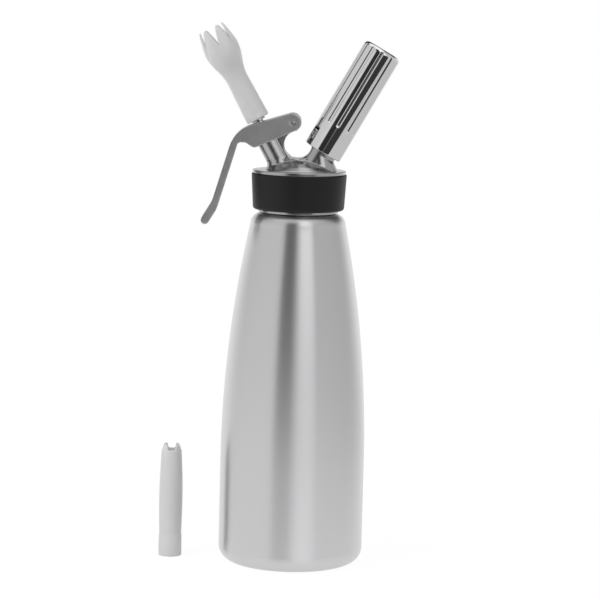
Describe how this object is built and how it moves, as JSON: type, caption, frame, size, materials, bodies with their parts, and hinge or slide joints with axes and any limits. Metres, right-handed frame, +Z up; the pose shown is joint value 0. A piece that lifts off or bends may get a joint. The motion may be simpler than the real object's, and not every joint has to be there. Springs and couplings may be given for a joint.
{
  "type": "whipped cream dispenser",
  "caption": "Steel cream whipper bottle with a screw-on head, a squeeze lever, a tulip nozzle, a gas charger holder and a loose straight nozzle.",
  "frame": {"origin": "centre of the bottle's base, on the plane of its foot ring", "axes": "+Z up the bottle, +X towards the charger holder, -X towards the nozzle and the lever"},
  "size_m": [0.159, 0.1, 0.3729],
  "materials": {
    "bottle_steel": "fine vertical satin",
    "head_steel": "blasted and tumbled satin",
    "lever_steel": "satin",
    "polished_steel": "mirror polish",
    "charger_steel": "smooth plated",
    "machined_steel": "turned",
    "spring_steel": "drawn wire",
    "black_silicone": "matt moulded",
    "red_silicone": "matt moulded",
    "seal_rubber": "matt moulded",
    "white_plastic": "smooth moulded, slightly translucent"
  },
  "bodies": {
    "bottle": {"bottle_shell": "bottle_steel"},
    "gasket": {"head_gasket": "red_silicone"},
    "head": {"head_casting": "head_steel", "grip_band": "black_silicone", "valve_bushing": "machined_steel", "gland_seal": "seal_rubber", "pivot_pin": "machined_steel", "charger_nipple": "machined_steel", "piercing_pin": "machined_steel", "charger_seal": "seal_rubber", "check_valve": "seal_rubber"},
    "lever": {"lever": "lever_steel"},
    "valve": {"valve_stem": "machined_steel", "valve_seal": "seal_rubber", "valve_seal_nut": "machined_steel", "valve_spring": "spring_steel", "nozzle_adapter": "machined_steel"},
    "tip_ring": {"tip_seal": "seal_rubber"},
    "tip": {"tulip_tip": "white_plastic", "tulip_tip_insert": "machined_steel"},
    "charger": {"gas_charger": "charger_steel"},
    "holder": {"charger_holder": "polished_steel"},
    "spare_tip": {"straight_tip": "white_plastic", "straight_tip_insert": "machined_steel"}
  },
  "joints": [
    {"name": "head_lift", "type": "slide", "parent": "bottle", "child": "gasket", "axis": [0, 0, 1], "range_m": [0, 0.01]},
    {"name": "head_turn", "type": "hinge", "parent": "gasket", "child": "head", "pos_m": [0, 0, 0.273], "axis": [0, 0, 1], "range_deg": [0, 720]},
    {"name": "lever_press", "type": "hinge", "parent": "head", "child": "lever", "pos_m": [-0.00531, 0, 0.30595], "axis": [0, -1, 0], "range_deg": [0, 10]},
    {"name": "valve_travel", "type": "slide", "parent": "head", "child": "valve", "axis": [0.4848, 0, -0.8746], "range_m": [0, 0.0029], "stiffness_N_per_m": 1200, "springref_m": -0.004, "deforming": ["valve_spring"]},
    {"name": "tip_lift", "type": "slide", "parent": "valve", "child": "tip_ring", "axis": [-0.4848, 0, 0.8746], "range_m": [0, 0.0055]},
    {"name": "tip_turn", "type": "hinge", "parent": "tip_ring", "child": "tip", "pos_m": [0, 0, 0.2547], "axis": [-0.4848, 0, 0.8746], "range_deg": [0, 900]},
    {"name": "charger_lift", "type": "slide", "parent": "head", "child": "charger", "axis": [0.4924, 0, 0.8704], "range_m": [0, 0.009]},
    {"name": "holder_turn", "type": "hinge", "parent": "charger", "child": "holder", "pos_m": [0, 0, 0.2585], "axis": [0.4924, 0, 0.8704], "range_deg": [0, 1080]},
    {"name": "spare_tip_lift", "type": "slide", "parent": "bottle", "child": "spare_tip", "axis": [0, 0, 1], "range_m": [0, 0.12]}
  ],
  "couplings": [
    {"joint": "head_lift", "follows": "head_turn", "m_per_rad": 0.00079577},
    {"joint": "lever_press", "follows": "valve_travel", "rad_per_m": 60.184},
    {"joint": "tip_lift", "follows": "tip_turn", "m_per_rad": 0.00035014},
    {"joint": "holder_turn", "follows": "charger_lift", "rad_per_m": 2094.4}
  ]
}
